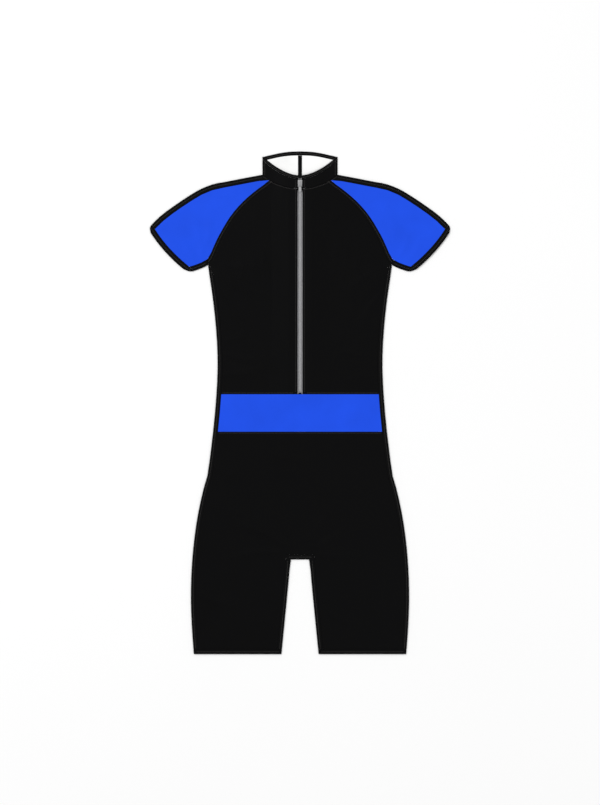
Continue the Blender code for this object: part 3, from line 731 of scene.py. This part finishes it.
# %% Stitches
STITCH_PITCH = 3.0 * MM
STITCH = (2.5 * MM, 0.5 * MM, 0.34 * MM)
MIDDLE = STRIP / 2
SLEEVE_MIDDLE = SLEEVE_STRIP / 2
BESIDE_BAND = 2.5 * MM
ABOVE_CLOTH = 50 * MM
DOWN = Vector((0, 0, -1))
thread = Finish("grey_thread", Roughness=0.6)
thread.feed("Base Color", thread.shade(thread.noise(800.0), scaled(THREAD_GREY, 0.8),
                                       scaled(THREAD_GREY, 1.3)))
FINISHES["thread"] = thread.material


def stitch():
    mesh_data = bmesh.new()
    bmesh.ops.create_uvsphere(mesh_data, u_segments=6, v_segments=5, radius=0.5,
                              matrix=Matrix.Rotation(math.pi / 2, 4, "Y"))
    bmesh.ops.scale(mesh_data, vec=STITCH, verts=mesh_data.verts)
    mesh = bpy.data.meshes.new("stitch")
    mesh_data.to_mesh(mesh)
    mesh_data.free()
    return mesh


def stitch_lines():
    """Every visible row of sewing, each as a line in plan."""
    lines = []
    for _, side in SIDES:
        half = [
            curve("over_arm").moved(SLEEVE_MIDDLE).part(2 * MM, 7 * MM),
            curve("cuff").moved(-SLEEVE_MIDDLE).part(3 * MM, 4 * MM),
            curve("underarm").moved(-SLEEVE_MIDDLE).part(2 * MM, 4 * MM),
            Line([(70.4 * MM, 987 * MM), (70.4 * MM, 957 * MM)]),
            curve("side", "leg").moved(MIDDLE).part(2 * MM, 10 * MM),
            curve("inner_leg").moved(MIDDLE).part(10 * MM, 0),
            curve("raglan").moved(-RAGLAN_TAPE / 2).part(1 * MM, 3 * MM),
            curve("neck").moved(2.2 * MM).part(3 * MM, 3 * MM),
            curve("collar_top").moved(4 * MM).part(2 * MM, 2 * MM),
            curve("collar_back").moved(4 * MM).part(2 * MM, 3 * MM),
            Line([(42 * MM, MIDDLE), (207 * MM, MIDDLE)]),
            Line([(8.5 * MM, 524 * MM), (8.5 * MM, 946 * MM)]),
            Line([(14 * MM, BAND_TOP + BESIDE_BAND), (154 * MM, BAND_TOP + BESIDE_BAND)]),
        ]
        lines += [line.mirrored(side) for line in half]
    lines.append(Line([(-22 * MM, 194 * MM), (22 * MM, 194 * MM)]))
    lines.append(Line([(-162 * MM, BAND_LOW - BESIDE_BAND), (162 * MM, BAND_LOW - BESIDE_BAND)]))
    return lines


def surface_under():
    """A tree of all the cloth, to find the height and slope of its top."""
    together = bmesh.new()
    for obj in clothes.values():
        together.from_mesh(obj.data)
    tree = BVHTree.FromBMesh(together)
    together.free()
    return tree


cloth_tree = surface_under()


def cloth_below(x, up):
    """The highest cloth at a place in plan, as a point and its normal, or None."""
    return cloth_tree.ray_cast(Vector((x, up + HEM_Y, ABOVE_CLOTH)), DOWN)[:2]


places = []
for line in stitch_lines():
    runs = np.arange(STITCH_PITCH / 2, line.length, STITCH_PITCH)
    spots, ahead = line.at(runs), line.at(runs + 0.5 * MM) - line.at(runs - 0.5 * MM)
    for (x, up), (run_x, run_up) in zip(spots, ahead):
        hit, normal = cloth_below(x, up)
        if hit is None:
            continue
        along = Vector((run_x, run_up, 0)).normalized()
        across = normal.cross(along).normalized()
        along = across.cross(normal)
        turn = Matrix((along, across, normal)).transposed().to_4x4()
        places.append(Matrix.Translation(hit) @ turn)
scatter("topstitching", stitch(), places, FINISHES["thread"])
print("stitches:", len(places))

# %% [markdown]
# The inside of the seams
#
# The panels meet edge to edge, and on the inside a flat band of overlock thread bridges
# each pair of edges. It lies between the two layers, and closes the hairline between the
# pieces, so the table can't be seen through a seam.

# %% Inside the seams
BACKING_HALF = 1.6 * MM
BACKING_Z = (1.28 * MM, 1.48 * MM)
BACKING_STEP = 4 * MM


def backing_lines():
    """Every seam of the front, each as a line in plan."""
    raglan = curve("raglan")
    half = [
        curve("neck"), raglan, raglan.moved(-RAGLAN_TAPE).part(STRIP, 12 * MM),
        curve("over_arm").moved(SLEEVE_STRIP).part(STRIP, SLEEVE_STRIP),
        curve("cuff").moved(-SLEEVE_STRIP).part(SLEEVE_STRIP, SLEEVE_STRIP),
        curve("underarm").moved(-SLEEVE_STRIP).part(0, SLEEVE_STRIP),
        curve("side", "leg").moved(STRIP).part(30 * MM, STRIP),
        curve("inner_leg").moved(STRIP).part(STRIP, 0),
        Line([(46 * MM, STRIP), (204 * MM, STRIP)]),
        Line([(62 * MM, 947.6 * MM), (78 * MM, 946.8 * MM)]),
        Line([(186 * MM, 780 * MM), (184.6 * MM, 789.4 * MM)]),
    ]
    lines = [line.mirrored(side) for line in half for _, side in SIDES]
    for up in (BAND_LOW, BAND_TOP):
        lines += [Line([(side * 12 * MM, up), (side * 156 * MM, up)]) for _, side in SIDES]
    return lines


def ribbon(mesh_data, line):
    """Adds a thin flat band along a line in plan."""
    count = max(int(line.length / BACKING_STEP), 1) + 1
    runs = np.linspace(0, line.length, count)
    made = bmesh.ops.create_grid(mesh_data, x_segments=count - 1, y_segments=1, size=1)
    edges = [line.moved(side * BACKING_HALF).at(runs) for side in (1, -1)]
    for vert, (x, up) in zip(made["verts"], np.vstack(edges)):
        vert.co = (x, up + HEM_Y, BACKING_Z[0])


backing_data = bmesh.new()
for line in backing_lines():
    ribbon(backing_data, line)
extruded = bmesh.ops.extrude_face_region(backing_data, geom=backing_data.faces[:])
for item in extruded["geom"]:
    if isinstance(item, bmesh.types.BMVert):
        item.co.z = BACKING_Z[1]
bmesh.ops.recalc_face_normals(backing_data, faces=backing_data.faces)
piece("seam_backing", backing_data, [FINISHES["binding_knit"]])
print("seams backed:", len(backing_lines()))

# %% [markdown]
# Bar tacks
#
# Where a seam ends at the zip, the machine sews back and forth over it until a small bar
# of thread stands there. There is one on each side of the zip at the collar's seam and at
# its top end, and one closes the collar's binding over the zip.

# %% Bar tacks
TACK_X = 4.15 * MM
TACK_PITCH = 0.45 * MM
TACK_THICK = 3.0
TACK_SUNK = 0.2 * MM
TACKS = [(side * TACK_X, low * MM, high * MM) for _, side in SIDES
         for low, high in ((927.2, 934.2), (948.0, 951.6))]
TACKS.append((0.0, 952.6 * MM, 956.2 * MM))
black_thread = Finish("black_thread", Roughness=0.7)
black_thread.shader.inputs["Specular IOR Level"].default_value = 0.1
black_thread.feed("Base Color", black_thread.shade(
    black_thread.noise(900.0), scaled(BLACK, 0.8), scaled(BLACK, 1.6)))
FINISHES["black_thread"] = black_thread.material


def top_near(x, up):
    """The height of the highest cloth within half a stitch of a place."""
    found = []
    for near in (x - STITCH[0] / 2, x, x + STITCH[0] / 2):
        hit = cloth_below(near, up)[0]
        if hit is not None:
            found.append(hit.z)
    return max(found)


places = []
for x, low, high in TACKS:
    for up in np.arange(low, high, TACK_PITCH):
        spot = Vector((x, up + HEM_Y, top_near(x, up) - TACK_SUNK))
        places.append(Matrix.Translation(spot) @ Matrix.Diagonal((1, 1, TACK_THICK, 1)))
scatter("bar_tacks", stitch(), places, FINISHES["black_thread"])
print("tacks:", len(TACKS), "with", len(places), "stitches")

# %% [markdown]
# What the collar and the strips were cut from
#
# A strip is as wide as its two edges and its fold, and a band goes all round its tube.
# Narrow tapes belong to the panel they edge.

# %% Sheets
FOLD_CUT = 4 * MM
STRIP_CUT = 2 * STRIP + FOLD_CUT
SLEEVE_STRIP_CUT = 2 * SLEEVE_STRIP + FOLD_CUT
CUFF_CUT = 12 * MM
HEM_CUT = 10.5 * MM
LEG_WIDTH = 174.5 * MM
CROTCH_TURN = 26 * MM
COLLAR_CUT = (54 * MM, 148 * MM)
CUTS = {
    "over_arm_binding": (SLEEVE_STRIP_CUT, curve("over_arm").length - STRIP),
    "under_arm_binding": (SLEEVE_STRIP_CUT, curve("underarm").length - STRIP),
    "side_binding": (STRIP_CUT, curve("side", "leg").length - STRIP),
    "cuff_band": (CUFF_CUT, 2 * curve("cuff").length),
    "leg_hem_band": (HEM_CUT, 2 * LEG_WIDTH),
    "inseam_binding": (STRIP_CUT, 2 * curve("inner_leg").length + CROTCH_TURN),
    "collar": COLLAR_CUT,
}
TRIMS = {
    "sleeve_front": "raglan_tape_front",
    "sleeve_back": "raglan_tape_back",
    "front_upper": "zip_tape",
    "collar": "collar_binding",
}


def trims_of(node):
    """The narrow tapes that are sewn to a panel's edges."""
    kind, word = node.rsplit("_", 1)
    tapes = [f"{TRIMS[kind]}_{word}"] if kind in TRIMS else []
    if node == "back_upper_left":
        tapes.append("centre_back_tape")
    return [clothes[tape] for tape in tapes]


for node, _ in PANELS:
    trims_of(node)
for node in COLLARS + STRIPS:
    cut = CUTS[node if node in CUTS else node.rsplit("_", 1)[0]]
    trims_of(node)
    print(f"{node}: cut {cut[0] * 1000:.0f} x {cut[1] * 1000:.0f} mm, {areas[node] * 1e4:.1f} cm2")

# %% [markdown]
# The table, the light and the camera
#
# The garment is seen as in a catalogue: on a pale table, from straight above, under a
# wide soft light. A strong lamp low to one side would draw the creases harder than the
# eye sees them, so the key is large and only leans a little to the left.

# %% Stage
FLOOR_DROP = 0.2 * MM
FLOOR_REACH = 5
FLOOR_TONES = ((0.95, 0.95, 0.95), (0.965, 0.965, 0.965))
SKY_STRENGTH = 0.62
floor_data = bmesh.new()
bmesh.ops.create_grid(floor_data, x_segments=2, y_segments=2, size=FLOOR_REACH,
                      matrix=Matrix.Translation((0, 0, CAD_BOX[0][2] - FLOOR_DROP)))
floor_mesh = bpy.data.meshes.new("pale_floor")
floor_data.to_mesh(floor_mesh)
floor_data.free()
pale = Finish("pale_table", Roughness=0.9)
pale.shader.inputs["Specular IOR Level"].default_value = 0.1
pale.feed("Base Color", pale.shade(pale.noise(2.0), *FLOOR_TONES))
floor_mesh.materials.append(pale.material)
floor = bpy.data.objects.new("pale_floor", floor_mesh)
bpy.context.scene.collection.objects.link(floor)


def lamp(name, place, size, power):
    """A square soft light that points at the middle of the garment."""
    data = bpy.data.lights.new(name, "AREA")
    data.size = size
    data.energy = power
    obj = bpy.data.objects.new(name, data)
    obj.location = place
    obj.rotation_euler = (-Vector(place)).to_track_quat("-Z", "Y").to_euler()
    bpy.context.scene.collection.objects.link(obj)


lamp("key", (-3.2, 2.4, 4.6), 2.4, 150)
lamp("fill", (3.4, -1.6, 4.8), 3.0, 70)
world = bpy.data.worlds.new("soft_room")
bpy.context.scene.world = world
world.use_nodes = True
background = world.node_tree.nodes["Background"]
background.inputs["Color"].default_value = (1, 1, 1, 1)
background.inputs["Strength"].default_value = SKY_STRENGTH
bpy.context.scene.view_settings.view_transform = "Standard"

# %% Camera
PIXEL = 2.0 * MM
FRAME_HEIGHT = 805
LENS = 90.0
SENSOR = 36.0
CAMERA_UP = 0.25 * PIXEL
camera_data = bpy.data.cameras.new("overhead")
camera_data.lens = LENS
camera_data.sensor_width = SENSOR
camera = bpy.data.objects.new("overhead", camera_data)
camera.location = (0.0, CAMERA_UP, FRAME_HEIGHT * PIXEL * LENS / SENSOR)
bpy.context.scene.collection.objects.link(camera)
bpy.context.scene.camera = camera
print("camera height:", round(camera.location.z, 3), "m")
